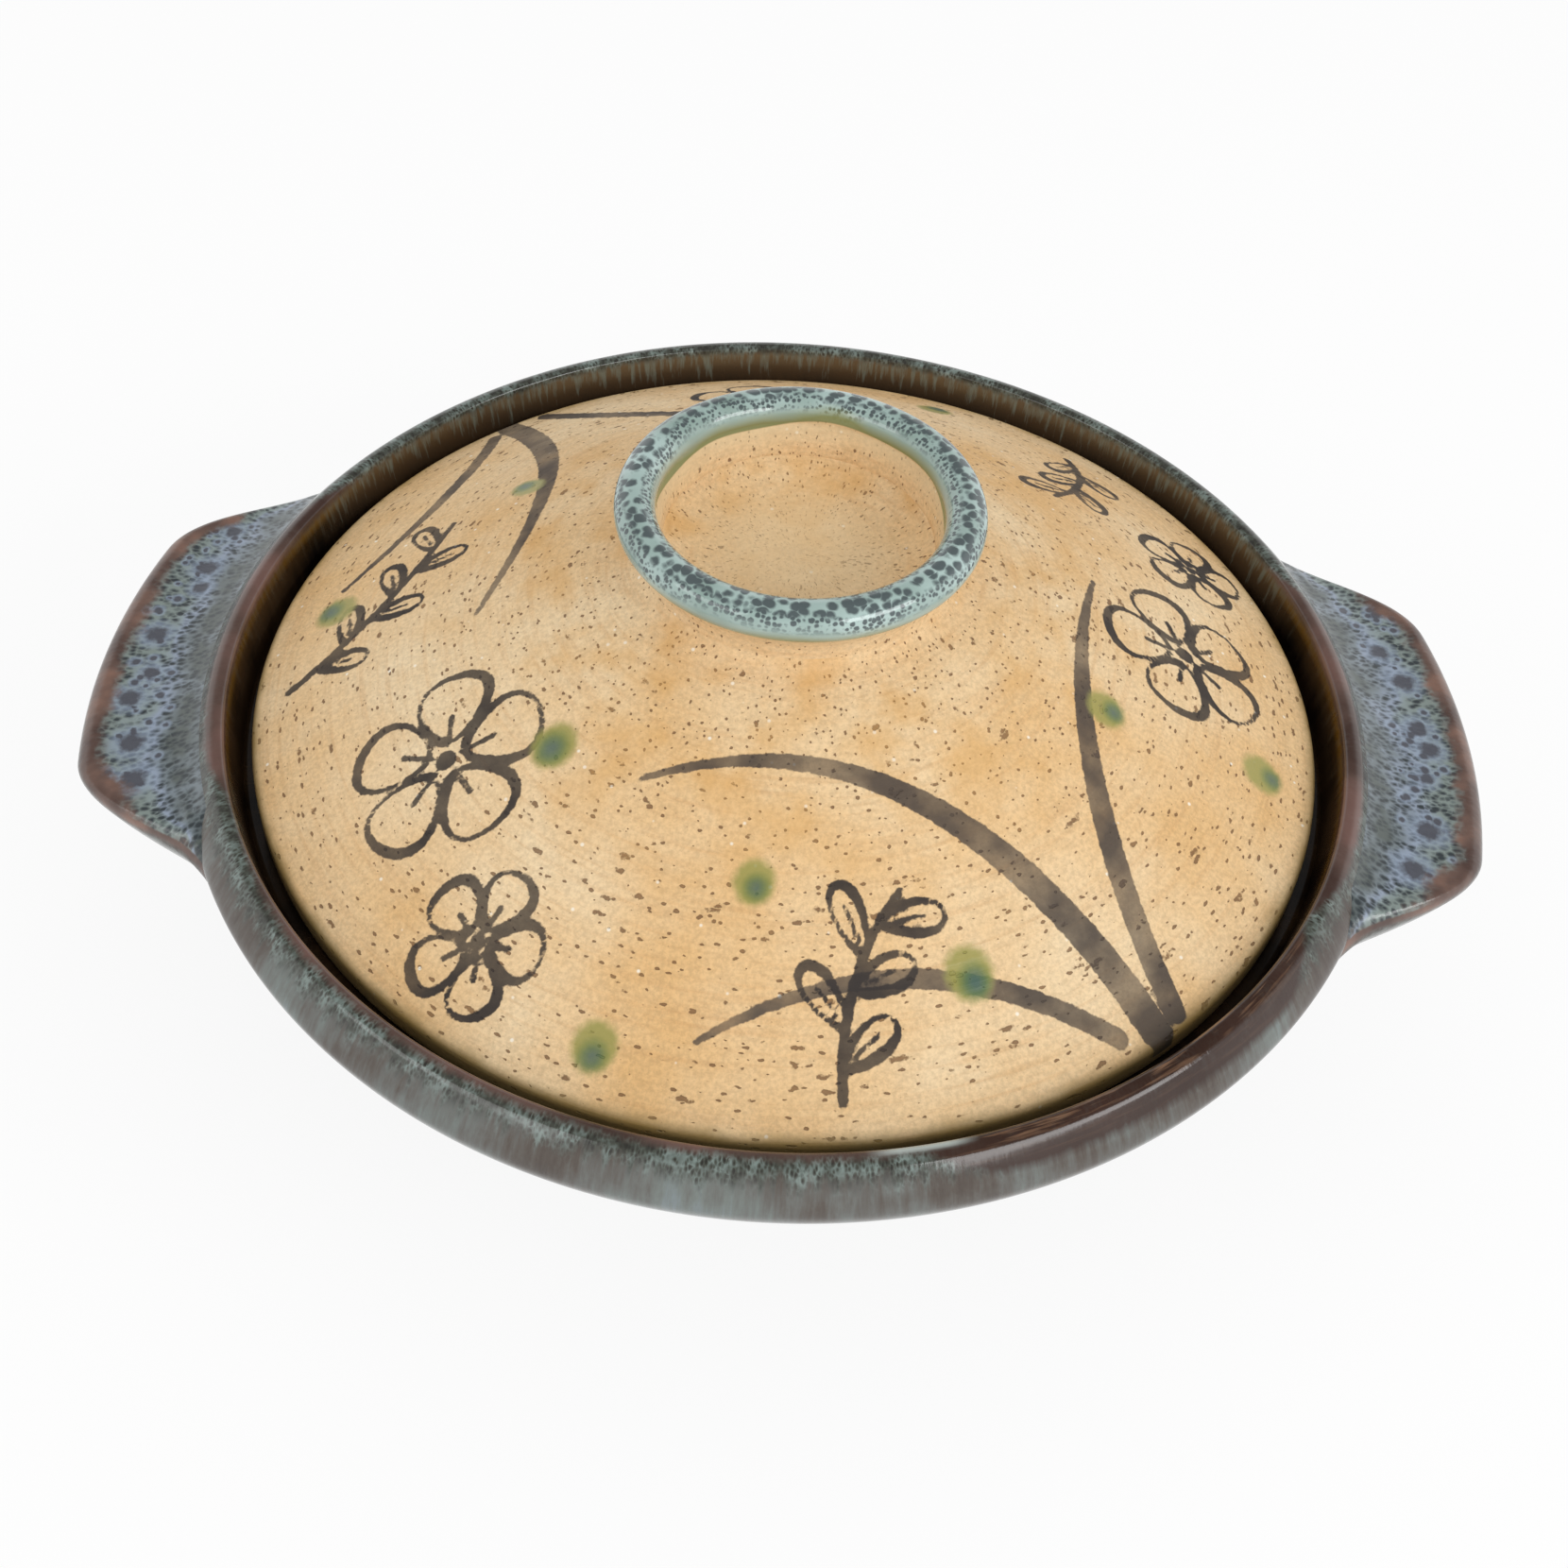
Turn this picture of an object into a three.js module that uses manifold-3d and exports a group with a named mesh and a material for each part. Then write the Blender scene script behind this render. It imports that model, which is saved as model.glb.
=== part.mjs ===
// Lidded stoneware hot pot: a thrown bowl with two lug handles, and a domed lid with a ring knob.
// Millimetres, +Z up, origin at the centre of the foot, handles along X.
import * as THREE from "three";
import { mergeVertices } from "three/addons/utils/BufferGeometryUtils.js";
import Module from "manifold-3d";

const wasm = await Module();
wasm.setup();

// Gap left between a piece and the neighbour that it sits on or is pressed to
const SEAT_GAP = 0.3;

// Bowl: beaded rim, gallery that the lid sits in, wall, floor and foot ring
const RIM_RADIUS = 113;
const RIM_HEIGHT = 76;
const BEAD_SLOPE_HEIGHT = 5.3;
const BEAD_BAND_HEIGHT = 3.7;
const CREST_WIDTH = 2.6;
const COLLAR_WALL = 9.5;
const RIM_LEAN = 1.7;
const SHOULDER_ROUND = 3;
const WALL_LEAN = THREE.MathUtils.degToRad(34);
const WALL_SWELL = 46;
const WALL = 8;
const FLOOR = 7;
const FLOOR_INSET = 8;
const GALLERY_DEPTH = 11.4;
const LEDGE_WIDTH = 8.5;
const LEDGE_LIP = 4;
const FOOT_RADIUS = 54;
const FOOT_WIDTH = 7;
const FOOT_HEIGHT = 5;
const FOOT_FLARE = 2;

// Lug handles, pressed on to the bead and the wall under it
const HANDLE_REACH = 19.5;
const HANDLE_THICKNESS = 9.5;
const HANDLE_DROP = 5.5;
const HANDLE_EDGE_ROUND = 3.5;
const HANDLE_TIP_ANGLE = THREE.MathUtils.degToRad(29.5);
const HANDLE_CORNER_ANGLE = THREE.MathUtils.degToRad(11.5);

// Lid: a cone-like dome with a thick edge
const LID_PLAY = 2.5;
const LID_EDGE = 6;
const LID_EDGE_ROUND = 1.8;
const LID_SEAT_WIDTH = 9;
const LID_WALL = 7;
const DOME_RISE = 31.1;
const DOME_CROWN = 2.2;

// Knob: an open ring on a short neck, its cup floored by the lid's crown
const NECK_RADIUS = 28.5;
const NECK_WALL = 4;
const NECK_HEIGHT = 9.3;
const NECK_FILLET = 9;
const NECK_FILLET_RISE = 4.5;
const CUP_RECESS = 2;
const RING_RADIUS = 29.2;
const RING_ROUND = 3.65;
const RING_FLARE_ANGLE = THREE.MathUtils.degToRad(-40);

// Facets of the turned pieces, and steps along each curve of an outline
const TURN_FACETS = 64;
const CURVE_STEPS = 4;
const HANDLE_STEPS = 24;

// Heights and radii that follow from the sizes above
const galleryRadius = RIM_RADIUS - COLLAR_WALL;
const ledgeHeight = RIM_HEIGHT - GALLERY_DEPTH;
const ledgeInner = galleryRadius - LEDGE_WIDTH;
const crestInner = galleryRadius + RIM_LEAN;
const crestRound = CREST_WIDTH / 2;
const crest = new THREE.Vector2(crestInner + CREST_WIDTH, RIM_HEIGHT);
const beadTop = new THREE.Vector2(RIM_RADIUS, RIM_HEIGHT - BEAD_SLOPE_HEIGHT);
const beadFoot = new THREE.Vector2(RIM_RADIUS, beadTop.y - BEAD_BAND_HEIGHT);
const crestEdge = beadTop.clone().sub(crest).setLength(crestRound).add(crest);
const wallDown = new THREE.Vector2(-Math.sin(WALL_LEAN), -Math.cos(WALL_LEAN));
const shoulder = beadFoot.clone().addScaledVector(wallDown, SHOULDER_ROUND);
const wallFoot = new THREE.Vector2(FOOT_RADIUS + FOOT_FLARE, FOOT_HEIGHT);
const floorTop = FOOT_HEIGHT + FLOOR;
const handleRound = Math.min(HANDLE_EDGE_ROUND, 0.4 * HANDLE_THICKNESS);
const handleBottom = RIM_HEIGHT - HANDLE_DROP - HANDLE_THICKNESS;
const handleFoot = shoulder.x - (shoulder.y - handleBottom) * Math.tan(WALL_LEAN);
const lidRadius = galleryRadius - LID_PLAY;
const lidBottom = ledgeHeight + SEAT_GAP;
const lidEdgeTop = lidBottom + LID_EDGE;
const lidSeatInner = lidRadius - LID_SEAT_WIDTH;
const domeTop = lidEdgeTop + DOME_RISE;
const domeTopRadius = NECK_RADIUS + NECK_FILLET;
const neckFoot = domeTop + NECK_FILLET_RISE;
const cupRadius = NECK_RADIUS - NECK_WALL;
const cupFloor = neckFoot - CUP_RECESS;
const ringHeight = neckFoot + NECK_HEIGHT;

// Point that steers the swelling wall, on the slope that leaves the shoulder
const wallBend = shoulder.clone().addScaledVector(wallDown, WALL_SWELL);

// Outer side of the bowl from the foot ring up over the bead to the crest, moved out by a gap
function traceOutside(path, gap) {
  path.lineTo(FOOT_RADIUS + gap, 0);
  path.lineTo(wallFoot.x + gap, wallFoot.y);
  path.quadraticCurveTo(wallBend.x + gap, wallBend.y, shoulder.x + gap, shoulder.y);
  path.quadraticCurveTo(beadFoot.x + gap, beadFoot.y, RIM_RADIUS + gap, (beadFoot.y + beadTop.y) / 2);
  path.quadraticCurveTo(beadTop.x + gap, beadTop.y, crestEdge.x + gap, crestEdge.y);
}

// Closed solid turned about Z from an outline of radius and height
function turned(path) {
  const outline = path.getPoints(CURVE_STEPS);
  const geometry = new THREE.LatheGeometry(outline, TURN_FACETS);
  geometry.rotateX(Math.PI / 2);
  return welded(geometry);
}

// Geometry with positions only, and shared vertices merged
function welded(geometry) {
  geometry.deleteAttribute("normal");
  geometry.deleteAttribute("uv");
  return mergeVertices(geometry);
}

function solidOf(geometry) {
  const vertProperties = new Float32Array(geometry.getAttribute("position").array);
  const triVerts = new Uint32Array(geometry.getIndex().array);
  return new wasm.Manifold(new wasm.Mesh({ numProp: 3, vertProperties, triVerts }));
}

function geometryOf(solid) {
  const mesh = solid.getMesh();
  const geometry = new THREE.BufferGeometry();
  geometry.setAttribute("position", new THREE.BufferAttribute(mesh.vertProperties, 3));
  geometry.setIndex(new THREE.BufferAttribute(mesh.triVerts, 1));
  geometry.computeVertexNormals();
  return geometry;
}

function bowl() {
  const path = new THREE.Path();
  path.moveTo(0, FOOT_HEIGHT);
  path.lineTo(FOOT_RADIUS - FOOT_WIDTH, FOOT_HEIGHT);
  path.lineTo(FOOT_RADIUS - FOOT_WIDTH, 0);
  traceOutside(path, 0);
  // Rounded crest, then the leaning inner face of the collar down to the ledge
  path.quadraticCurveTo(crest.x, RIM_HEIGHT, crest.x - crestRound, RIM_HEIGHT);
  path.quadraticCurveTo(crestInner, RIM_HEIGHT, crestInner, RIM_HEIGHT - crestRound);
  path.lineTo(galleryRadius, ledgeHeight);
  path.lineTo(ledgeInner, ledgeHeight);
  path.lineTo(ledgeInner, ledgeHeight - LEDGE_LIP);
  // Inside of the wall, which half way up lies the wall's thickness from the outside
  const middle = shoulder.clone().add(wallFoot).divideScalar(4).addScaledVector(wallBend, 0.5);
  const inward = new THREE.Vector2(wallFoot.y - shoulder.y, shoulder.x - wallFoot.x).normalize();
  const lip = new THREE.Vector2(ledgeInner, ledgeHeight - LEDGE_LIP);
  const floorEdge = new THREE.Vector2(wallFoot.x - FLOOR_INSET, floorTop);
  const bend = middle.addScaledVector(inward, WALL).multiplyScalar(2);
  bend.addScaledVector(lip, -0.5).addScaledVector(floorEdge, -0.5);
  path.quadraticCurveTo(bend.x, bend.y, floorEdge.x, floorEdge.y);
  path.lineTo(0, floorTop);
  return turned(path);
}

// Space that the bowl takes up, with the seat gap round it
function bowlSpace() {
  const path = new THREE.Path();
  path.moveTo(0, 0);
  traceOutside(path, SEAT_GAP);
  path.lineTo(crest.x + SEAT_GAP, RIM_HEIGHT);
  path.lineTo(0, RIM_HEIGHT);
  return solidOf(turned(path));
}

// Slab whose outer edge swells from the wall at the tips to full reach between the corners
function handle() {
  const outline = [];
  for (let i = 0; i <= HANDLE_STEPS; i += 1) {
    const angle = HANDLE_TIP_ANGLE * ((2 * i) / HANDLE_STEPS - 1);
    const grown = THREE.MathUtils.smoothstep(-Math.abs(angle), -HANDLE_TIP_ANGLE, -HANDLE_CORNER_ANGLE);
    const radius = THREE.MathUtils.lerp(handleFoot, RIM_RADIUS + HANDLE_REACH, grown);
    outline.push(new THREE.Vector2(radius * Math.cos(angle), radius * Math.sin(angle)));
  }
  const root = handleFoot - WALL;
  outline.push(new THREE.Vector2(root * Math.cos(HANDLE_TIP_ANGLE), root * Math.sin(HANDLE_TIP_ANGLE)));
  outline.push(new THREE.Vector2(root * Math.cos(HANDLE_TIP_ANGLE), -root * Math.sin(HANDLE_TIP_ANGLE)));
  const slab = new THREE.ExtrudeGeometry(new THREE.Shape(outline), {
    depth: HANDLE_THICKNESS - 2 * handleRound,
    bevelThickness: handleRound,
    bevelSize: handleRound,
    bevelOffset: -handleRound,
    bevelSegments: CURVE_STEPS,
    steps: 1,
  });
  slab.translate(0, 0, handleBottom + handleRound);
  return geometryOf(solidOf(welded(slab)).subtract(bowlSpace()));
}

function lidDome() {
  const path = new THREE.Path();
  const round = Math.min(LID_EDGE_ROUND, 0.4 * LID_EDGE);
  const outerBend = (lidRadius - round + domeTopRadius) / 2;
  const bendHeight = (lidEdgeTop + domeTop) / 2 + DOME_CROWN;
  const crownUnder = cupFloor - LID_WALL;
  path.moveTo(0, crownUnder);
  path.lineTo(cupRadius, crownUnder);
  path.quadraticCurveTo(outerBend, bendHeight - LID_WALL, lidSeatInner, lidBottom + LID_EDGE / 2);
  path.lineTo(lidSeatInner, lidBottom);
  path.lineTo(lidRadius - round, lidBottom);
  path.quadraticCurveTo(lidRadius, lidBottom, lidRadius, lidBottom + round);
  path.lineTo(lidRadius, lidEdgeTop - round);
  path.quadraticCurveTo(lidRadius, lidEdgeTop, lidRadius - round, lidEdgeTop);
  path.quadraticCurveTo(outerBend, bendHeight, domeTopRadius, domeTop);
  path.quadraticCurveTo(NECK_RADIUS, domeTop + NECK_FILLET_RISE / 2, NECK_RADIUS, neckFoot);
  path.lineTo(cupRadius, neckFoot);
  path.lineTo(cupRadius, cupFloor);
  path.lineTo(0, cupFloor);
  return turned(path);
}

function lidKnob() {
  const path = new THREE.Path();
  const foot = neckFoot + SEAT_GAP;
  const flareX = RING_RADIUS + RING_ROUND * Math.cos(RING_FLARE_ANGLE);
  const flareZ = ringHeight + RING_ROUND * Math.sin(RING_FLARE_ANGLE);
  path.moveTo(cupRadius, foot);
  path.lineTo(NECK_RADIUS, foot);
  path.quadraticCurveTo(NECK_RADIUS, flareZ - RING_ROUND / 2, flareX, flareZ);
  path.absarc(RING_RADIUS, ringHeight, RING_ROUND, RING_FLARE_ANGLE, Math.PI, false);
  path.lineTo(cupRadius, foot);
  return turned(path);
}

const GLAZE = { color: "#75838a", roughness: 0.25, metalness: 0 };
const CLAY = { color: "#e0be8c", roughness: 0.8, metalness: 0 };
const CELADON = { color: "#a9c4c2", roughness: 0.15, metalness: 0 };

function piece(name, geometry, finish) {
  const mesh = new THREE.Mesh(geometry, new THREE.MeshStandardMaterial(finish));
  mesh.name = name;
  return mesh;
}

const pot = new THREE.Group();
pot.add(piece("pot_bowl", bowl(), GLAZE));
pot.add(piece("right_handle", handle(), GLAZE));
const left = piece("left_handle", handle(), GLAZE);
left.rotation.z = Math.PI;
pot.add(left);

const lid = new THREE.Group();
lid.add(piece("lid_dome", lidDome(), CLAY));
lid.add(piece("lid_knob", lidKnob(), CELADON));

const hotPot = new THREE.Group();
hotPot.add(pot, lid);

export default hotPot;
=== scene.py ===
"""Lidded stoneware hot pot: thrown forms, glazes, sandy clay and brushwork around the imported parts."""
import math
from functools import partial

import bpy
import numpy as np
from mathutils import Matrix, Vector


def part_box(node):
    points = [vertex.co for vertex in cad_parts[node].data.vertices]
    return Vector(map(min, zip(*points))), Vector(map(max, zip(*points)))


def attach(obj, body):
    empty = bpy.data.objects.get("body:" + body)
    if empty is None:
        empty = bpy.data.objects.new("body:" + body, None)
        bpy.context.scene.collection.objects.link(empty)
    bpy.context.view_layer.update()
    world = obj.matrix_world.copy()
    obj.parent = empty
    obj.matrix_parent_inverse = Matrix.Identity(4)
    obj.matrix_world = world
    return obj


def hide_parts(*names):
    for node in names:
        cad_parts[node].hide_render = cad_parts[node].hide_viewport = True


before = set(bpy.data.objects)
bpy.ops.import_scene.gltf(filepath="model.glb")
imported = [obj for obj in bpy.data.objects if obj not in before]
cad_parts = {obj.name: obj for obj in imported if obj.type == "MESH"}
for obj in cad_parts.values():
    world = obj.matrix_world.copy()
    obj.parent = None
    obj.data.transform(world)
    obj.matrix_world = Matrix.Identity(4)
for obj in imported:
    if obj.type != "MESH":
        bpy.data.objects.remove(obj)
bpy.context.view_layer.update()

# Sizes, in millimetres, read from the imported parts
MM = 0.001
bowl_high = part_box("pot_bowl")[1] / MM
handle_low, handle_high = (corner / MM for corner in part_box("right_handle"))
dome_low, dome_high = (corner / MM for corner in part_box("lid_dome"))
knob_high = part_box("lid_knob")[1] / MM
RIM_R = bowl_high.x
RIM_Z = bowl_high.z
HANDLE_R = handle_high.x
HANDLE_TOP = handle_high.z
HANDLE_THICK = handle_high.z - handle_low.z
LID_R = dome_high.x
LID_Z = dome_low.z
NECK_Z = dome_high.z
KNOB_R = knob_high.x
KNOB_TOP = knob_high.z

# Bowl, as the solid has it
COLLAR_WALL = 9.5
BEAD_SLOPE_HEIGHT = 5.3
BEAD_BAND_HEIGHT = 3.7
CREST_WIDTH = 2.6
RIM_LEAN = 1.7
SHOULDER_ROUND = 3.0
WALL_LEAN = math.radians(34)
WALL_SWELL = 46.0
WALL = 8.0
GALLERY_DEPTH = 11.4
LEDGE_WIDTH = 8.5
LEDGE_LIP = 4.0
FOOT_R = 54.0
FOOT_WIDTH = 7.0
FOOT_HEIGHT = 5.0
FOOT_FLARE = 2.0
FLOOR_TOP = 12.0
FLOOR_INSET = 8.0

# Hand-made softness of the bowl: the most that its rim sags, and the most that its radius shrinks, as a share
RIM_SAG = 0.35
RIM_SHRINK = 0.0016

# Glaze round the rim: a bearing, a half width and a soft border, in degrees
LUG_SIDES = ((-4, 24, 6), (179, 23, 7))
FRONT = (-90, 62, 14)
THIN_PATCH = (-54, 21, 6)
# The next row places a painted highlight: a pale spot on the crest where a softbox reflects
CREST_HIGHLIGHT = (-76, 3.6, 1.6)

# Lugs: tips and corners as the solids have them, then the softer form that the surface adds
HANDLE_TIP = math.radians(29.5)
HANDLE_CORNER = math.radians(11.5)
HANDLE_TAIL = math.radians(33)
HANDLE_TAIL_END = math.radians(21)
HANDLE_DRAFT = math.radians(2.3)
HANDLE_ROUND = 3.6
TOP_ROOT = RIM_R - 4.6
WALL_ROOT = RIM_R - 4.1
ROOT_DEPTH = 4.0
SWELL_SINK = 1.0
TAIL_SINK = 2.2
TAIL_REACH = 4.6
TOP_FILLET = 4.1
TOP_FILLET_RUN = 4.5
WALL_FILLET = 2.5
WALL_FILLET_RUN = 5.0
TOP_DISH = 0.4

# Lid and knob, as the solids have them
LID_EDGE = 6.0
LID_ROUND = 1.8
LID_SEAT = 9.0
LID_WALL = 7.0
DOME_CROWN = 2.2
NECK_R = 28.5
NECK_FILLET = 9.0
NECK_FILLET_RISE = 4.5
CUP_R = 24.5
CUP_FLOOR = NECK_Z - 2.0
RING_TUBE = 3.65
RING_R = KNOB_R - RING_TUBE
RING_Z = KNOB_TOP - RING_TUBE

# Distance past which a painted mark or a spot no longer counts
MARK_REACH = 6.0

# Refraction of bare clay and of glaze
CLAY_IOR = 1.5
GLAZE_IOR = 1.52

# Camera, fitted to the lid edge, the knob and the rim in the photograph
FRAME_PIXELS = 1660
FOCAL_PIXELS = 2000
SENSOR = 36.0
VIEW_ELEVATION = math.radians(47.549)
VIEW_ROLL = math.radians(4.008)
VIEW_DISTANCE = 364.06
VIEW_SHIFT_RIGHT = 0.37
VIEW_SHIFT_UP = -18.13
VIEW_TARGET_Z = LID_Z + LID_EDGE - 0.2

# Stage: lengths in metres, light as a share of white
FLOOR_HALF = 2.5
FLOOR_WHITE = 0.86
AMBIENT = 0.80
CEILING = 0.16
BACKDROP_TOP = math.sin(math.radians(20))
CEILING_EDGE = math.sin(math.radians(42))
SOFTBOX_ASIDE = 0.75
SOFTBOX_FRONT = -0.62
SOFTBOX_UP = 0.66
SOFTBOX_WIDTH = 0.8
SOFTBOX_HEIGHT = 0.34


def linear(code):
    """Linear RGBA of an sRGB hex colour."""
    channels = [int(code[i:i + 2], 16) / 255 for i in (1, 3, 5)]
    return [c / 12.92 if c <= 0.04045 else ((c + 0.055) / 1.055) ** 2.4 for c in channels] + [1.0]


def add_node(tree, kind, inputs=None, out=0, stops=(), **settings):
    """Adds one node, gives it settings and rising colour stops, fills or links its inputs, and returns an
    output. Sockets go by name or number, and a hex colour is made linear."""
    node = tree.nodes.new("ShaderNode" + kind)
    for name, value in settings.items():
        setattr(node, name, value)
    for index, (place, code) in enumerate([*stops[:1], *stops[-1:], *stops[1:-1]]):
        elements = node.color_ramp.elements
        stop = elements[index] if index < 2 else elements.new(place)
        stop.position = place
        stop.color = linear(code)
    for key, value in (inputs or {}).items():
        if isinstance(value, bpy.types.NodeSocket):
            tree.links.new(value, node.inputs[key])
        else:
            node.inputs[key].default_value = linear(value) if isinstance(value, str) else value
    return node.outputs[out] if node.outputs else None


def new_material(name):
    """Empty node material of that name, and what adds a node to it."""
    material = bpy.data.materials.new(name)
    material.use_nodes = True
    material.node_tree.nodes.clear()
    return material, partial(add_node, material.node_tree)


def ramp(add, value, low, high, start=0.0, end=1.0, **settings):
    """Number that runs from start, where the value is low, to end, where it is high, and no further."""
    return add("MapRange", {"Value": value, 1: low, 2: high, 3: start, 4: end}, **settings)


def ease(add, *ends):
    """Number that runs as in ramp, along a smooth step."""
    return ramp(add, *ends, interpolation_type="SMOOTHSTEP")


def times(add, value, factor, plus=None):
    """Number that is a value times a factor, plus another value if given."""
    if plus is None:
        return add("Math", {0: value, 1: factor}, operation="MULTIPLY")
    return add("Math", {0: value, 1: factor, 2: plus}, operation="MULTIPLY_ADD")


def mix(add, share, first, second, **settings):
    """Colour that goes from the first to the second as the share goes from 0 to 1."""
    return add("Mix", {0: share, 6: first, 7: second}, out=2, data_type="RGBA", **settings)


def blend(add, share, first, second):
    """Number that goes from the first to the second as the share goes from 0 to 1."""
    return add("Mix", {0: share, 2: first, 3: second}, data_type="FLOAT")


def end_material(add, colour, rough, height, step_mm, share, ior):
    """Ends a material: bump from a height whose unit is step_mm, then the shader and its output."""
    bump = add("Bump", {"Height": height, "Distance": step_mm * MM, "Strength": share})
    shader = add("BsdfPrincipled", {"Base Color": colour, "Roughness": rough, "Normal": bump, "IOR": ior})
    add("OutputMaterial", {"Surface": shader})


def per_metre(size_mm):
    """Pattern scale that gives a cell or a wave of that many millimetres."""
    return 1 / (size_mm * MM)


def bezier(start, bend, end, count):
    """Points on the quadratic curve (1-t)^2 start + 2t(1-t) bend + t^2 end, for t from 0 to 1."""
    t = np.linspace(0, 1, count)[:, None]
    return (1 - t) ** 2 * np.array(start) + 2 * t * (1 - t) * np.array(bend) + t ** 2 * np.array(end)


def straight(start, end, count):
    """Evenly spaced points from start to end."""
    return np.linspace(start, end, count)


def chain(*pieces):
    """One outline from pieces that follow each other, without the points that repeat."""
    points = np.concatenate([np.asarray(piece, float) for piece in pieces])
    kept = np.r_[True, np.linalg.norm(np.diff(points, axis=0), axis=1) > 1e-6]
    return points[kept]


def arc_length(points):
    """Distance along an outline to each of its points."""
    return np.r_[0, np.cumsum(np.linalg.norm(np.diff(points, axis=0), axis=1))]


def smooth(value, low, high):
    """Smooth step from 0 at low to 1 at high: 3t^2 - 2t^3."""
    t = np.clip((value - low) / (high - low), 0, 1)
    return t * t * (3 - 2 * t)


def full_turn(count):
    """Angles of one full turn, as a grid's row."""
    return np.linspace(0, 2 * math.pi, count, endpoint=False)[None, :]


def around(size, angle, third):
    """Grid of (size cos angle, size sin angle, third): places round the axis, or in a seamless pattern."""
    return np.stack(np.broadcast_arrays(size * np.cos(angle), size * np.sin(angle), third), axis=-1)


def make_mesh(name, points, loops, starts, attributes):
    """Smooth-shaded object from points in millimetres, corners, each face's first corner and attributes."""
    mesh = bpy.data.meshes.new(name)
    mesh.vertices.add(len(points))
    mesh.vertices.foreach_set("co", (points * MM).astype(np.float32).ravel())
    mesh.loops.add(len(loops))
    mesh.loops.foreach_set("vertex_index", loops.astype(np.int32))
    mesh.polygons.add(len(starts))
    mesh.polygons.foreach_set("loop_start", starts.astype(np.int32))
    mesh.update(calc_edges=True)
    mesh.shade_smooth()
    for key, values in attributes.items():
        kind, field = ("FLOAT_VECTOR", "vector") if values.ndim == 2 else ("FLOAT", "value")
        layer = mesh.attributes.new(key, kind, "POINT")
        layer.data.foreach_set(field, values.astype(np.float32).ravel())
    piece = bpy.data.objects.new(name, mesh)
    bpy.context.scene.collection.objects.link(piece)
    return piece


def grid_faces(rows, columns, wrap_rows):
    """Quads of a grid that closes round its columns, and round its rows too if asked."""
    row = np.arange(rows if wrap_rows else rows - 1)[:, None]
    column = np.arange(columns)[None, :]
    after = (row + 1) % rows
    beside = (column + 1) % columns
    pairs = ((row, column), (row, beside), (after, beside), (after, column))
    corners = [down * columns + over for down, over in pairs]
    return np.stack(np.broadcast_arrays(*corners), axis=-1).reshape(-1, 4)


def turned(name, radius, height, angle, attributes):
    """Surface of revolution from grids of radius and height over outline steps and angles. A point is (radius
    cos angle, radius sin angle, height). An outline that starts on the axis has a pole at each end, listed
    after the grid's points, and any other outline closes on itself."""
    points = around(radius, angle, height)
    shape = points.shape[:2]
    poles = radius[0, 0] == 0
    rows, columns = (shape[0] - 2 if poles else shape[0]), shape[1]
    loops = grid_faces(rows, columns, not poles).ravel()
    starts = np.arange(0, len(loops), 4)
    if poles:
        column = np.arange(columns)
        beside = (column + 1) % columns
        last_row = (rows - 1) * columns
        pole = np.full(columns, rows * columns)
        under = np.stack([pole, beside, column], axis=-1)
        over = np.stack([pole + 1, last_row + column, last_row + beside], axis=-1)
        starts = np.r_[starts, len(loops) + np.arange(0, 6 * columns, 3)]
        loops = np.r_[loops, under.ravel(), over.ravel()]
    lists = {}
    for key, grid in {"place": points, **attributes}.items():
        whole = np.broadcast_to(grid, shape + grid.shape[2:])
        body = (whole[1:-1] if poles else whole).reshape(rows * columns, *grid.shape[2:])
        lists[key] = np.concatenate([body, whole[[0, -1], 0]]) if poles else body
    return make_mesh(name, lists.pop("place"), loops, starts, lists)


def finish_piece(piece, material, body, slot, *nodes):
    """Gives a piece its material and body, and lets it stand for its solids. The slot is not used."""
    piece.data.materials.append(material)
    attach(piece, body)
    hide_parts(*nodes)


# Bowl

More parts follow.
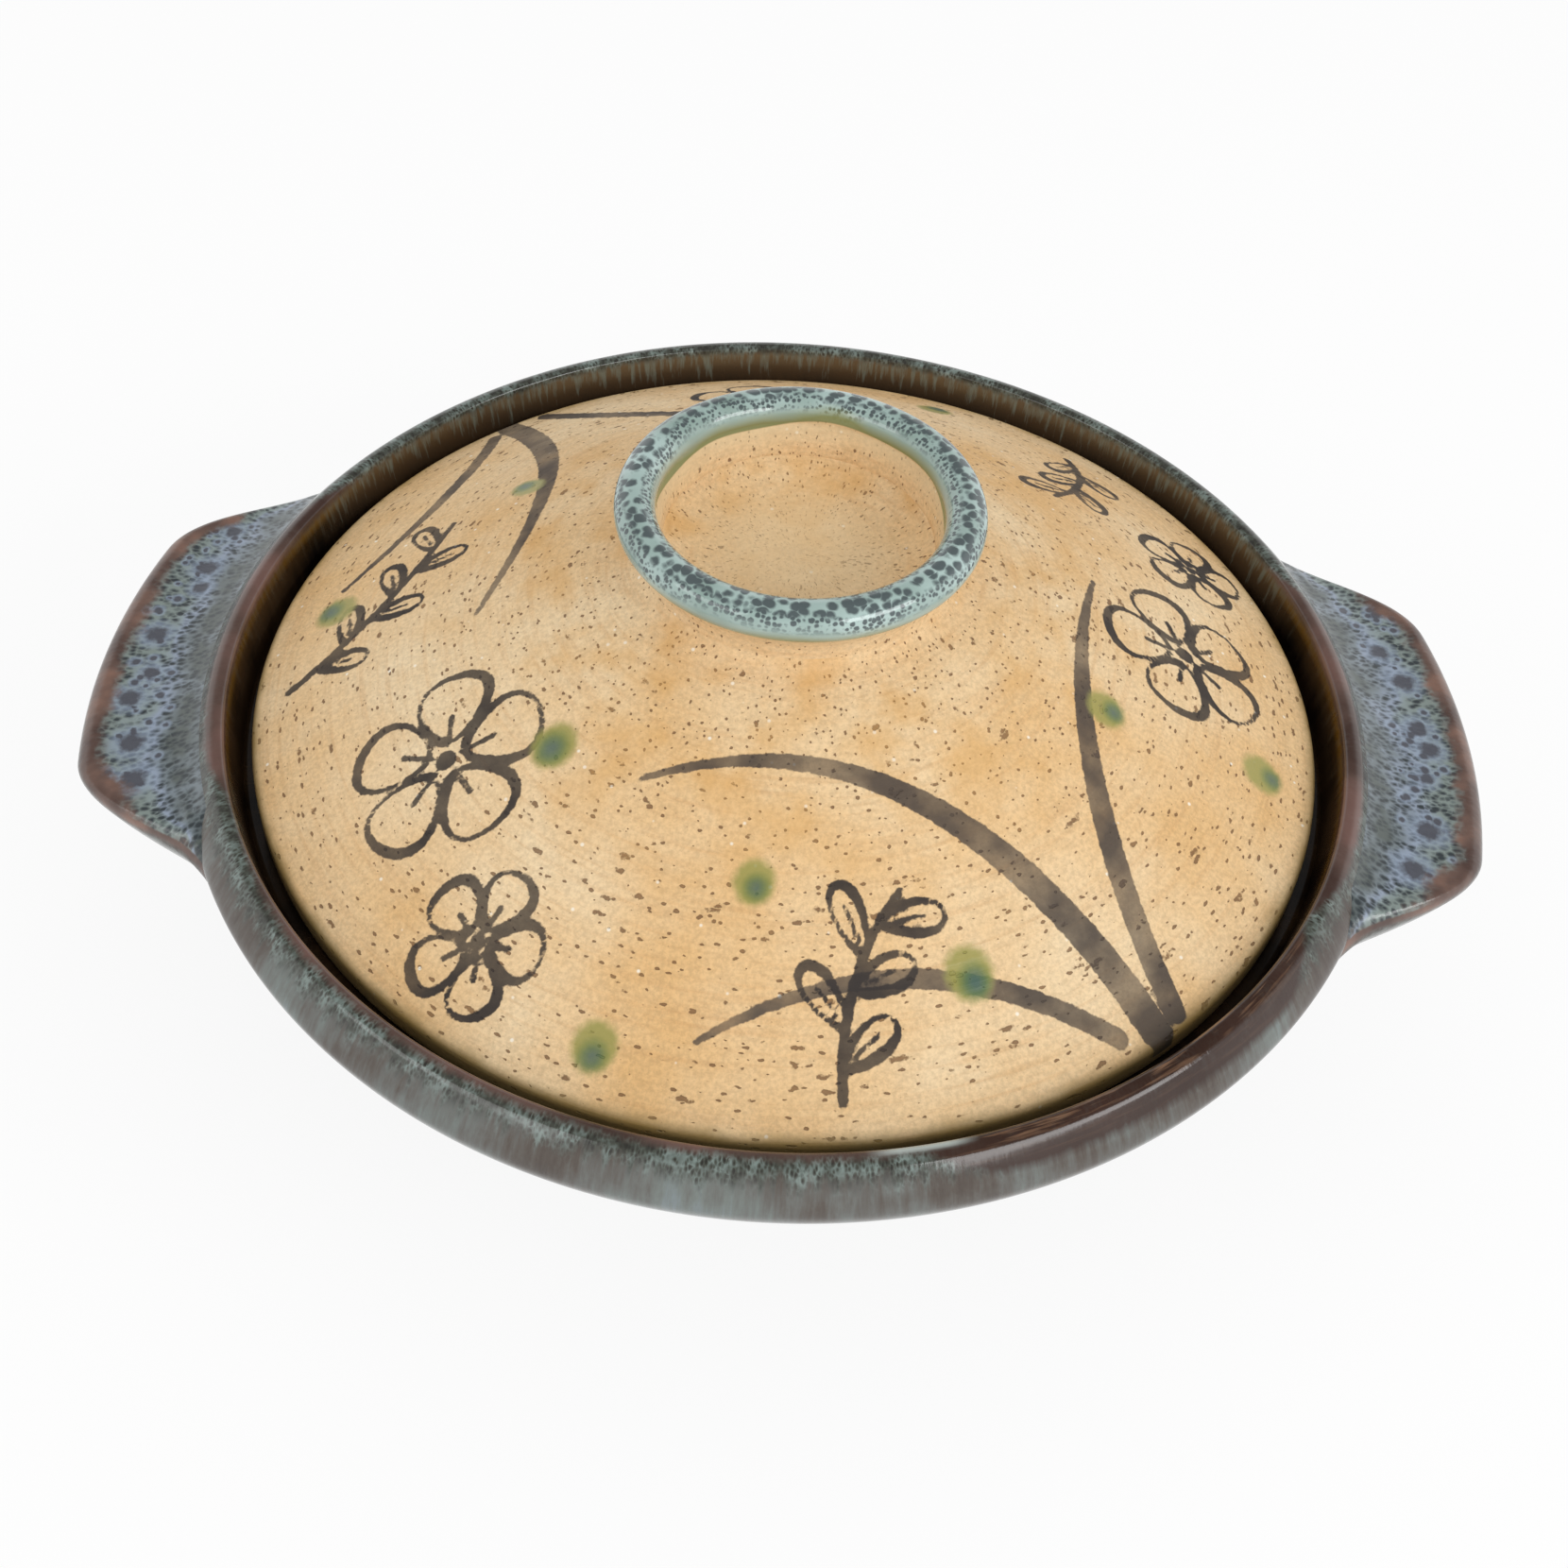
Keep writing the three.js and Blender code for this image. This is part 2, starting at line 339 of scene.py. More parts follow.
def bowl_outline():
    """Outline of the bowl from the axis under the foot, up the outside, over the crest and down the inside.
    Curves are quadratic, steered by the same points as the solid's. Also gives the crest's place in it."""
    down = np.array([-math.sin(WALL_LEAN), -math.cos(WALL_LEAN)])
    bead_top = np.array([RIM_R, RIM_Z - BEAD_SLOPE_HEIGHT])
    bead_foot = bead_top - (0, BEAD_BAND_HEIGHT)
    bead_middle = (bead_foot + bead_top) / 2
    shoulder = bead_foot + SHOULDER_ROUND * down
    bend = shoulder + WALL_SWELL * down
    foot_in = FOOT_R - FOOT_WIDTH
    foot_fillet, foot_round = 2, 1
    hollow_edge = (foot_in - foot_fillet, FOOT_HEIGHT)
    foot_side = (FOOT_R + 0.2, foot_round)
    flare = np.array([FOOT_R + FOOT_FLARE, FOOT_HEIGHT])
    wall_foot = flare + (1.6, 1.2)
    gallery = RIM_R - COLLAR_WALL
    ledge = RIM_Z - GALLERY_DEPTH
    gallery_foot = (gallery + 0.1, ledge + 1)
    lip = gallery - LEDGE_WIDTH
    lip_round = 1.2
    crest_in = gallery + RIM_LEAN
    crest_round = CREST_WIDTH / 2
    crest = np.array([crest_in + CREST_WIDTH, RIM_Z])
    crest_top = crest - (crest_round, 0)
    crest_edge = crest + crest_round * (bead_top - crest) / np.linalg.norm(bead_top - crest)
    floor_edge = np.array([flare[0] - FLOOR_INSET, FLOOR_TOP])
    floor_flat = floor_edge - (12, 0)
    inward = np.array([flare[1] - shoulder[1], shoulder[0] - flare[0]])
    half_way = (shoulder + flare) / 4 + bend / 2 + WALL * inward / np.linalg.norm(inward)
    inner_bend = 2 * half_way - ((lip, ledge - LEDGE_LIP) + floor_edge) / 2
    outside = chain(
        straight((0, FOOT_HEIGHT), hollow_edge, 8),
        bezier(hollow_edge, (foot_in, FOOT_HEIGHT), (foot_in, FOOT_HEIGHT - foot_fillet), 5),
        bezier((foot_in, foot_round), (foot_in, 0), (foot_in + foot_round, 0), 5),
        straight((foot_in + foot_round, 0), (FOOT_R - foot_round, 0), 4),
        bezier((FOOT_R - foot_round, 0), (FOOT_R, 0), foot_side, 5),
        bezier(foot_side, flare - (0.8, 1), wall_foot, 6),
        bezier(wall_foot, bend, shoulder, 40),
        bezier(shoulder, bead_foot, bead_middle, 14),
        bezier(bead_middle, bead_top, crest_edge, 16),
        bezier(crest_edge, crest, crest_top, 8),
    )
    inside = chain(
        bezier(crest_top, (crest_in, RIM_Z), (crest_in, RIM_Z - crest_round), 8),
        straight((crest_in, RIM_Z - crest_round), gallery_foot, 10),
        bezier(gallery_foot, (gallery, ledge), (gallery - 1, ledge), 4),
        straight((gallery - 1, ledge), (lip + lip_round, ledge), 5),
        bezier((lip + lip_round, ledge), (lip, ledge), (lip, ledge - lip_round), 6),
        bezier((lip, ledge - LEDGE_LIP), inner_bend, floor_edge, 26)[:-2],
        bezier(floor_edge + (2.2, 1.4), floor_edge - (1, 0), floor_flat, 8),
        straight(floor_flat, (0, FLOOR_TOP), 6),
    )
    return chain(outside, inside), len(outside)


def sector(angle, centre, half, soft):
    """1 within half of a bearing, in degrees, and 0 beyond it, with a soft border."""
    away = np.abs((angle - math.radians(centre) + math.pi) % (2 * math.pi) - math.pi)
    return 1 - smooth(away, math.radians(half - soft), math.radians(half + soft))


def make_bowl():
    """Turned bowl. Its crest sags and its radius shrinks by a few tenths in slow waves round the pot. Brown
    clay shows from inside the crest as far down the outside as brown_to says: a little in front, more at the
    lugs, most on one thin patch. The foot is bare, and one small spot on the crest is painted pale as a
    painted highlight where a softbox reflects."""
    inside_crest, at_lugs, in_front, on_patch = -2.8, 5.3, 3.2, 8.8
    outline, crest = bowl_outline()
    along = arc_length(outline)
    angle = full_turn(512)
    wave = 0.5 + 0.3 * np.sin(2 * angle + 0.7) + 0.2 * np.sin(5 * angle + 2.1)
    lift = smooth(outline[:, 1:], FLOOR_TOP, RIM_Z)
    from_crest = (along[crest] - along)[:, None]
    sides = np.maximum(*(sector(angle, *side) for side in LUG_SIDES))
    patch = sector(angle, *THIN_PATCH)
    reaches = [at_lugs * sides, in_front * sector(angle, *FRONT), on_patch * patch]
    # Painted highlight: a pale spot on the crest's inner half where a softbox reflects
    crest_highlight = smooth(-np.abs(from_crest + 0.6), -1.5, -0.6) * sector(angle, *CREST_HIGHLIGHT)
    outer = (np.arange(len(outline)) < crest)[:, None]
    attributes = {
        "flow": around(RIM_R, angle, along[:, None]),
        "from_crest": from_crest,
        "brown_to": np.maximum.reduce(reaches) + inside_crest,
        "thin": patch,
        "olive": sides,
        # milk carries that painted highlight
        "milk": 0.85 * crest_highlight,
        "bare": smooth(-outline[:, 1:], -4.2, -2.6) * outer,
    }
    radius = outline[:, :1] * (1 - RIM_SHRINK * wave * lift)
    height = outline[:, 1:] - RIM_SAG * wave * lift
    return turned("pot_bowl_turned", radius, height, angle, attributes)


# Handles

def oil_spots(seed):
    """Places and sizes of the dark spots on a lug: a row of large ones along its middle, and small ones
    around it. Each is a bearing in radians, a distance out from the rim and a radius in millimetres."""
    large, small = 8, 46
    draw = np.random.default_rng(seed)
    row = np.linspace(-0.88, 0.88, large) * HANDLE_TIP * 0.62
    in_row = [
        row + draw.normal(0, 0.016, large),
        draw.normal(8.6, 1.1, large),
        draw.uniform(1.7, 3.1, large)]
    spread = [
        draw.uniform(-0.62, 0.62, small) * HANDLE_TIP,
        draw.uniform(3.0, 14.5, small),
        draw.uniform(0.5, 1.2, small)]
    return np.concatenate([np.stack(spots, axis=-1) for spots in (in_row, spread)])


def make_handle(name, side, seed):
    """Lug on a grid of angle and section. Its edge swells by a smooth step from the wall at the tips to full
    reach at the corners, which stand a little wider on top than underneath, and a low tail carries it on
    along the rim. Its section runs out flat from the crest, turns round the edge in two quarter circles and
    runs back flat to the wall. Exponential fillets rise to the crest on top and fall to the wall underneath.
    For the glaze, edge is the distance in from the edge, more on the flanks and negative underneath, across
    runs from 0 at the rim to 1 at the edge, and spot is the distance to an oil spot over its radius."""
    steps, bends, sweeps = 40, 31, 331
    flank_width, flank_from, flank_to = 5, 9, 18
    half = HANDLE_THICK / 2
    middle = HANDLE_TOP - half
    way = np.r_[np.linspace(0, 1, steps), np.ones(bends - 2), np.linspace(1, 0, steps)]
    quarter = np.full(steps, math.pi / 2)
    bow = np.r_[quarter, np.linspace(math.pi / 2, -math.pi / 2, bends)[1:-1], -quarter]
    root = np.where(bow >= 0, TOP_ROOT, WALL_ROOT - ROOT_DEPTH)
    lift = np.sign(bow) * (half - HANDLE_ROUND) + HANDLE_ROUND * np.sin(bow)
    sweep = HANDLE_TAIL * np.linspace(-1, 1, sweeps)[:, None]
    away = -np.abs(sweep)
    wider = HANDLE_DRAFT * lift / half
    bead_foot = RIM_Z - BEAD_SLOPE_HEIGHT - BEAD_BAND_HEIGHT
    under_bead = np.clip(bead_foot - (middle + lift), 0, None)
    wall_at = RIM_R - math.tan(WALL_LEAN) * under_bead
    full = smooth(away, wider / 2 - HANDLE_TIP, -HANDLE_CORNER - wider)
    swell = wall_at - SWELL_SINK + (HANDLE_R - wall_at + SWELL_SINK) * full
    tail = wall_at - TAIL_SINK + TAIL_REACH * smooth(away, -HANDLE_TAIL, -HANDLE_TAIL_END)
    edge_r = np.minimum(np.logaddexp(swell, tail), HANDLE_R)
    soft = np.clip(0.6 * (edge_r - root), 0.2, HANDLE_ROUND)
    radius = root + (edge_r - soft - root) * way + soft * np.cos(bow)
    reach = edge_r - RIM_R
    upper = smooth(lift / half, -0.3, 0.7)
    grown = smooth(reach, -1, 6)
    rise = TOP_FILLET * np.exp(-(radius - TOP_ROOT) / TOP_FILLET_RUN) * upper * grown
    off_wall = np.clip(radius - WALL_ROOT, -3, None)
    fall = WALL_FILLET * np.exp(-off_wall / WALL_FILLET_RUN) * (1 - upper) * grown
    across = np.clip((radius - RIM_R) / np.maximum(reach, 1), 0, 1)
    dish = TOP_DISH * np.sin(math.pi * across) * upper * grown
    height = middle + lift + rise - fall - dish
    angle = sweep + (0 if side > 0 else math.pi)
    points = around(radius, angle, height)
    rows, columns = points.shape[:2]
    quads = grid_faces(columns, rows, True).reshape(columns, rows, 4)[:, :-1]
    order = (quads % rows) * columns + quads // rows
    cap = np.arange(columns)
    loops = np.r_[order[..., ::-1].ravel(), cap[::-1], (rows - 1) * columns + cap]
    starts = np.r_[np.arange(0, order.size, 4), order.size, order.size + columns]
    step_lengths = np.hypot(np.diff(radius, axis=1), np.diff(height, axis=1))
    along = np.pad(np.cumsum(step_lengths, axis=1), ((0, 0), (1, 0)))
    slant = 1 / np.hypot(1, np.gradient(edge_r[:, 0], sweep[:, 0] * RIM_R))[:, None]
    from_edge = along[:, [steps + bends // 4]] - along
    flank = flank_width * (1 - smooth(reach, flank_from, flank_to))
    on_top = from_edge * slant + flank
    below = from_edge + flank * np.exp(np.minimum(from_edge, 0))
    spots = oil_spots(seed)
    aside = (sweep[..., None] - spots[:, 0]) * (RIM_R + spots[:, 1])
    spot = (np.hypot(aside, (radius - RIM_R)[..., None] - spots[:, 1]) / spots[:, 2]).min(-1)
    attributes = {
        "flow": around(RIM_R, angle, along).reshape(-1, 3),
        "edge": np.where(from_edge > 0, on_top, below).ravel(),
        "across": across.ravel(),
        "spot": np.minimum(spot, MARK_REACH).ravel(),
    }
    return make_mesh(name, points.reshape(-1, 3), loops, starts, attributes)


# Lid

def dome_outline():
    """Outline of the lid from the axis underneath, out along the seat, round the edge, up the dome and the
    neck's fillet, and down into the cup. Also gives where the edge turns up and where the neck starts."""
    edge_top = LID_Z + LID_EDGE
    foot = np.array([NECK_R + NECK_FILLET, NECK_Z - NECK_FILLET_RISE])
    edge_r = LID_R - LID_ROUND
    start = np.array([edge_r, edge_top])
    bend = (start + foot) / 2 + (0, DOME_CROWN)
    seat = LID_R - LID_SEAT
    seat_top = (seat, LID_Z + LID_EDGE / 2)
    under = CUP_FLOOR - LID_WALL
    neck_foot = (NECK_R - 0.05, NECK_Z)
    neck_top = (NECK_R - 0.6, NECK_Z + 2.5)
    cup_edge = (CUP_R + 0.9, NECK_Z + 3)
    cup_flat = (CUP_R - 11, CUP_FLOOR + 0.2)
    below = chain(
        straight((0, under), (CUP_R, under), 5),
        bezier((CUP_R, under), bend - (0, LID_WALL), seat_top, 10),
        straight(seat_top, (seat, LID_Z), 4),
        straight((seat, LID_Z), (edge_r, LID_Z), 5),
        bezier((edge_r, LID_Z), (LID_R, LID_Z), (LID_R, LID_Z + LID_ROUND), 6),
    )
    dome = chain(
        straight((LID_R, LID_Z + LID_ROUND), (LID_R, edge_top - LID_ROUND), 3),
        bezier((LID_R, edge_top - LID_ROUND), (LID_R, edge_top), start, 7),
        bezier(start, bend, foot, 84),
    )
    neck = chain(
        bezier(foot, (NECK_R + 0.4, NECK_Z - NECK_FILLET_RISE * 0.45), neck_foot, 12),
        straight(neck_foot, neck_top, 3),
        straight(neck_top, cup_edge, 3),
        bezier(cup_edge, (CUP_R - 2.5, CUP_FLOOR + 0.6), cup_flat, 9),
        straight(cup_flat, (0, CUP_FLOOR), 5),
    )
    return chain(below, dome, neck), len(below), len(below) + len(dome)


def ray(direction):
    """Step of length 1 at that angle, in radians."""
    return np.array([math.cos(direction), math.sin(direction)])


def polar(radius, degrees):
    """Point on the lid's plan at that radius and bearing."""
    return radius * ray(math.radians(degrees))


def blade(root, tip, bow, widths):
    """Long brush stroke: a quadratic curve, pushed sideways by bow at its middle, with half widths."""
    count = 30
    chord = tip - root
    side = np.array([-chord[1], chord[0]]) / np.linalg.norm(chord)
    points = bezier(root, (root + tip) / 2 + 2 * bow * side, tip, count)
    return points, np.interp(np.linspace(0, 1, count), np.linspace(0, 1, len(widths)), widths)


def loop(base, direction, length, width, pen):
    """Closed pen line round a petal or leaf: length (1 - cos a) / 2 along, width sin a across, and narrower
    at its base. The pen presses harder and softer as it goes round."""
    start, stop, count = 0.25, 2 * math.pi - 0.12, 30
    a = np.linspace(start, stop, count)
    far = (1 - np.cos(a)) / 2
    along = ray(direction)
    side = np.array([-along[1], along[0]])
    across = width / 2 * np.sin(a) * (0.5 + 0.5 * far)
    points = base + np.outer(length * far, along) + np.outer(across, side)
    return points, pen * (0.8 + 0.35 * np.sin(a * 1.5 + direction))


def blossom(centre, size, turn):
    """Five petals in outline round a dot, with a short stamen in each. Lengths are shares of the size."""
    petals, pen = 5, 0.85
    strokes = [(np.array([centre, centre + 0.01]), np.array([0.11, 0.11]) * size)]
    for k in range(petals):
        direction = math.radians(turn + 360 / petals * k)
        out = ray(direction)
        strokes.append(loop(centre + 0.2 * size * out, direction, 0.8 * size, 0.95 * size, pen))
        stamen = np.array([centre + 0.16 * size * out, centre + 0.5 * size * out])
        strokes.append((stamen, np.array([0.4, 0.55])))
    return strokes


def sprig(root, tip, bow, leaves, size):
    """Bowed stem with outlined leaves on alternate sides, each with a vein."""
    pen, vein, spread, first, span = 0.8, 0.35, 0.85, 4, 25
    stem, width = blade(root, tip, bow, (0.9, 0.8, 0.6))
    strokes = [(stem, width)]
    for k in range(leaves):
        place = first + k * span // leaves
        ahead = stem[place + 1] - stem[place - 1]
        direction = math.atan2(ahead[1], ahead[0]) + (spread if k % 2 else -spread)
        strokes.append(loop(stem[place], direction, size, 0.55 * size, pen))
        out = ray(direction)
        line = np.array([stem[place] + 0.2 * size * out, stem[place] + 0.7 * size * out])
        strokes.append((line, np.full(2, vein)))
    return strokes


def stroke_distance(plan, strokes):
    """Least distance from each plan point to any stroke's edge, negative inside it: the distance to each
    straight step of the stroke less its half width there."""
    nearest = np.full(len(plan), MARK_REACH)
    for points, half in strokes:
        low = points.min(0) - MARK_REACH
        high = points.max(0) + MARK_REACH
        close = np.flatnonzero(np.all((plan > low) & (plan < high), axis=1))
        here = plan[close]
        for a, b, wa, wb in zip(points[:-1], points[1:], half[:-1], half[1:]):
            step = b - a
            t = np.clip((here - a) @ step / (step @ step), 0, 1)
            gap = np.linalg.norm(here - a - t[:, None] * step, axis=1) - (wa + t * (wb - wa))
            nearest[close] = np.minimum(nearest[close], gap)
    return nearest


def lid_brushwork():
    """Reeds in a broad brush, blossoms and leaf sprigs in a fine one, and copper dabs, as strokes on the
    plan. Places are a radius in millimetres and a bearing in degrees."""
    reeds = [
        blade(polar(99, -49), polar(53, -116), -13, (3.0, 2.6, 1.5, 0.5)),
        blade(polar(98, -46), polar(57, 12), 9, (2.2, 2.2, 1.6, 0.5)),
        blade(polar(97, -53), polar(88, -97), -7, (1.6, 1.5, 0.5)),
        blade(polar(99, 131), polar(58, -172), 11, (2.8, 2.4, 1.4, 0.5)),
        blade(polar(98, 126), polar(62, 66), -9, (2.0, 1.9, 0.6)),
        blade(polar(97, 134), polar(89, 172), 6, (1.5, 1.4, 0.5)),
    ]
    fine = []
    for radius, bearing, size, turn in (
        (70, -146, 17, 20), (86, -124, 11.5, 55), (74, 2, 16, 40), (87, 24, 11, 10), (78, 98, 14, 30),
    ):
        fine += blossom(polar(radius, bearing), size, turn)
    fine += sprig(polar(95, -82), polar(66, -72), 3, 5, 11)
    fine += sprig(polar(94, -172), polar(72, 160), -4, 6, 10)
    fine += sprig(polar(92, 52), polar(66, 40), 4, 5, 10)
    dabs = [(polar(radius, bearing), size) for radius, bearing, size in (
        (56, -134, 4.4), (92, -107, 4.2), (80, -66, 4.6), (64, -93, 3.8), (90, -12, 4.4),
        (60, -20, 4.0), (88, 176, 4.4), (62, 150, 3.6), (90, 72, 4.2), (64, 84, 3.6),
    )]
    return reeds, fine, dabs


def make_lid():
    """Turned lid. Throwing ridges, two sines along the slope, ripple its top by a few hundredths of a
    millimetre, always inwards. Brushwork is kept as distances: from the wash, from the pen line, and from
    each copper dab and its darker heart in shares of the dab's size."""
    turns, cup_flat, lip_rows = 700, 8, 8
    broad, broad_turn, slight, slight_turn, drop = 0.05, 1.35, 0.035, 2.9, 0.09
    outline, edge, neck = dome_outline()
    along = arc_length(outline)
    angle = full_turn(turns)
    slope = (along - along[edge])[:, None]
    top = slice(edge + lip_rows, neck)
    ridge = np.zeros((len(outline), 1))
    rise = slope[top]
    ridge[top] = broad * np.sin(rise * broad_turn) + slight * np.sin(rise * slight_turn + 1) - drop
    sway = 1 + 0.5 * np.sin(angle * 2 + slope / 9)
    radius = outline[:, :1]
    height = outline[:, 1:] + ridge * sway
    attributes = {
        "spin": around(1, angle, along[:, None]),
        "slope": slope,
        # cup marks the knob's cup, where the lid's material lightens the clay as painted light
        "cup": smooth(-radius, -CUP_R, -cup_flat) * (height > CUP_FLOOR - 1),
    }
    painted = around(radius, angle, 0)[edge:neck, :, :2].reshape(-1, 2)
    reeds, fine, dabs = lid_brushwork()
    marks = {"wash": stroke_distance(painted, reeds), "line": stroke_distance(painted, fine)}
    for key, outwards, aside in (("copper", 1.0, 0.0), ("heart", 1.02, 0.4)):
        marks[key] = np.minimum.reduce([
            np.linalg.norm(painted - place * outwards - aside, axis=1) / size for place, size in dabs])
    for key, distance in marks.items():
        attributes[key] = np.full(height.shape, MARK_REACH)
        attributes[key][edge:neck] = np.minimum(distance, MARK_REACH).reshape(-1, turns)
    return turned("lid_dome_turned", radius, height, angle, attributes)


def make_knob():
    """Turned ring on its neck: a round roll of the tube's radius, a flared neck and the wall of the cup. The
    glaze line waves round it, outside and in."""
    flare, tuck = math.radians(-48), math.radians(196)
    roll = np.linspace(flare, tuck, 56)
    tube = np.stack([RING_R + RING_TUBE * np.cos(roll), RING_Z + RING_TUBE * np.sin(roll)], axis=-1)
    base = NECK_Z - 1.2
    base_in = (CUP_R + 0.6, base)
    neck_foot = (NECK_R, NECK_Z + 1)
    cup_foot = (CUP_R - 0.2, NECK_Z + 2)
    outline = chain(
        straight(base_in, (NECK_R, base), 4),
        straight((NECK_R, base), neck_foot, 3),
        bezier(neck_foot, (NECK_R + 0.1, tube[0, 1] - 2.6), tube[0], 14),
        tube,
        bezier(tube[-1], (CUP_R + 0.3, RING_Z - 4), cup_foot, 10),
        straight(cup_foot, base_in, 4),
    )[:-1]
    along = arc_length(outline)[:, None]
    angle = full_turn(512)
    tube_ends = np.isclose(outline[:, None, :], tube[None, [0, -1], :]).all(-1).any(1)
    low, high = along[np.flatnonzero(tube_ends)[[0, -1]], 0]
    outer_line = low - 0.7 + 0.5 * np.sin(3 * angle + 0.6) + 0.25 * np.sin(11 * angle)
    inner_line = high + 0.4 + 0.9 * np.sin(2 * angle + 2.4) + 0.35 * np.sin(7 * angle + 1)
    crest = low + (high - low) * (math.pi / 2 - flare) / (tuck - flare)
    attributes = {
        "spin": around(1, angle, along),
        "glazed": np.minimum(along - outer_line, inner_line - along),
        "roll": crest - along,
    }
    return turned("lid_knob_turned", outline[:, :1], outline[:, 1:], angle, attributes)


# Materials

def clay_pattern(add):
    """Sandy buff stoneware, thrown and left bare: blotches of amber, circular streaks, dark pits drawn out
    along the turning and pale grains of sand that also serve as painted glints. Returns colour, roughness
    and height in millimetres."""
    blotch_mm, grain_mm, crumb_mm, sand_mm, streak_mm, streaks_round = 34.0, 0.8, 1.1, 3.2, 1.3, 2.4
    pits = ((36.0, 1.2, 0.06, 0.29), (16.0, 2.2, -0.04, 0.24), (8.0, 3.4, -0.14, 0.2))
    place = add("TexCoord", out="Object")
    spin = add("Attribute", out="Vector", attribute_name="spin")
    blotch = add("TexNoise", {
        "Vector": place, "Scale": per_metre(blotch_mm), "Detail": 5.0, "Roughness": 0.55})
    buff = add("ValToRGB", {"Fac": blotch}, stops=[
        (0.30, "#d9b078"), (0.43, "#dfbc8b"), (0.55, "#e2c498"), (0.70, "#e7cfa8")])
    stretched = add("VectorMath", {
        0: spin, 1: (streaks_round, streaks_round, 1 / streak_mm)}, operation="MULTIPLY")
    streak = add("TexNoise", {"Vector": stretched, "Scale": 1.0, "Detail": 4.0, "Roughness": 0.65})
    streak_dark = ramp(add, streak, 0.5, 0.7, 0.0, 0.3)
    streaked = mix(add, streak_dark, buff, "#c0905a")
    grain = add("TexNoise", {"Vector": place, "Scale": per_metre(grain_mm), "Detail": 3.0, "Roughness": 0.7})
    grain_dark = ramp(add, grain, 0.36, 0.62, 0.86, 1.08)
    layer = mix(add, 1.0, streaked, grain_dark, blend_type="MULTIPLY")
    crumbs = add("TexNoise", {"Vector": place, "Scale": per_metre(crumb_mm), "Detail": 2.0}, out="Color")
    shifted = add("VectorMath", {0: crumbs, 1: (0.5,) * 3, 2: (-0.25,) * 3}, operation="MULTIPLY_ADD")
    hollow = None
    for cells_round, cell_mm, least, most in pits:
        cells = add("VectorMath", {0: spin, 1: (cells_round, cells_round, 1 / cell_mm)}, operation="MULTIPLY")
        crumbled = add("VectorMath", {0: cells, 1: shifted}, operation="ADD")
        pit = add("TexVoronoi", {"Vector": crumbled, "Scale": 1.0})
        pick = add("SeparateColor", {0: pit.node.outputs["Color"]})
        size = ramp(add, pick, 0.2, 1.0, least, most)
        depth = add("Math", {0: size, 1: pit}, operation="SUBTRACT")
        mask = ramp(add, depth, 0.0, 0.06)
        hollow = add("Math", {0: hollow, 1: mask}, operation="MAXIMUM") if hollow else mask
    hollow_dark = times(add, hollow, 0.8)
    pitted = mix(add, hollow_dark, layer, "#694423")
    # Pale sand grains, partly painted glints: near-white, slightly glossy specks that also stand in for light
    # glinting on quartz and at the pits' edges
    sand = add("TexVoronoi", {"Vector": place, "Scale": per_metre(sand_mm)})
    sand_pick = add("SeparateColor", {0: sand.node.outputs["Color"]}, out="Green")
    sand_near = ramp(add, sand, 0.07, 0.13, 1.0, 0.0)
    sand_some = add("Math", {0: sand_pick, 1: 0.72}, operation="GREATER_THAN")
    sand_and_glint_mask = times(add, sand_near, sand_some)
    colour = mix(add, sand_and_glint_mask, pitted, "#f3e8d4")
    rough = ramp(add, sand_and_glint_mask, 0.0, 1.0, 0.78, 0.3)
    fine = times(add, grain, 0.05)
    ringed = times(add, streak, 0.16, fine)
    height = times(add, hollow, -0.25, ringed)
    return colour, rough, height


def lid_clay():
    """Bare sandy stoneware with iron-brown brushwork and copper-green dabs fired into it: matt, the colour
    sunk in, toasted along the lid's edge and blushed orange towards the knob. The clay in the knob's cup
    is made lighter as painted light, where the ring shades it."""
    material, add = new_material("sandy_stoneware_brushed_iron_and_copper")
    ragged_mm, pool_mm = 1.3, 11
    paints = (("wash", "#463d37", 0.7, 0.95), ("line", "#312a27", 0.86, 0.98))
    colour, rough, height = clay_pattern(add)
    place = add("TexCoord", out="Object")
    slope, cup, copper, heart = (
        add("Attribute", out="Fac", attribute_name=name) for name in ("slope", "cup", "copper", "heart"))
    ragged = add("TexNoise", {
        "Vector": place, "Scale": per_metre(ragged_mm), "Detail": 4.0, "Roughness": 0.65})
    pooled = add("TexNoise", {"Vector": place, "Scale": per_metre(pool_mm), "Detail": 3.0})
    uneven = times(add, pooled, -3.0, slope)
    band = ease(add, uneven, 0.2, 3.6, 0.85, 0.0)
    toasted = mix(add, band, colour, "#8a7440")
    blush_near = ease(add, slope, 30.0, 66.0, 0.2)
    blush_some = ramp(add, pooled, 0.46, 0.68, 0.0, 0.5)
    blush = times(add, blush_near, blush_some)
    layer = mix(add, blush, toasted, "#cf9a4c")
    # Painted light: the clay in the knob's cup is made lighter, where the ring shades it
    painted_cup_light = times(add, cup, 0.55)
    layer = mix(add, painted_cup_light, layer, "#e2c79c")
    for name, code, thin, full in paints:
        distance = add("Attribute", out="Fac", attribute_name=name)
        rough_edge = times(add, ragged, 0.9, distance)
        cover = ease(add, rough_edge, 0.32, 0.62, 1.0, 0.0)
        load = ramp(add, pooled, 0.35, 0.62, thin, full)
        ink = times(add, cover, load)
        layer = mix(add, ink, layer, code)
    blot = times(add, ragged, 0.35, copper)
    deep = times(add, pooled, 0.5, heart)
    green = add("ValToRGB", {"Fac": deep}, stops=[
        (0.35, "#3f6256"), (0.6, "#557046"), (0.8, "#78823f"), (1.0, "#97924a")])
    stain = ease(add, blot, 0.85, 1.3, 0.9, 0.0)
    dabbed = mix(add, stain, layer, green)
    gloss = add("Math", {0: band, 1: stain}, operation="MAXIMUM")
    glossy = blend(add, gloss, rough, 0.35)
    end_material(add, dabbed, glossy, height, 1.0, 0.8, CLAY_IOR)
    return material


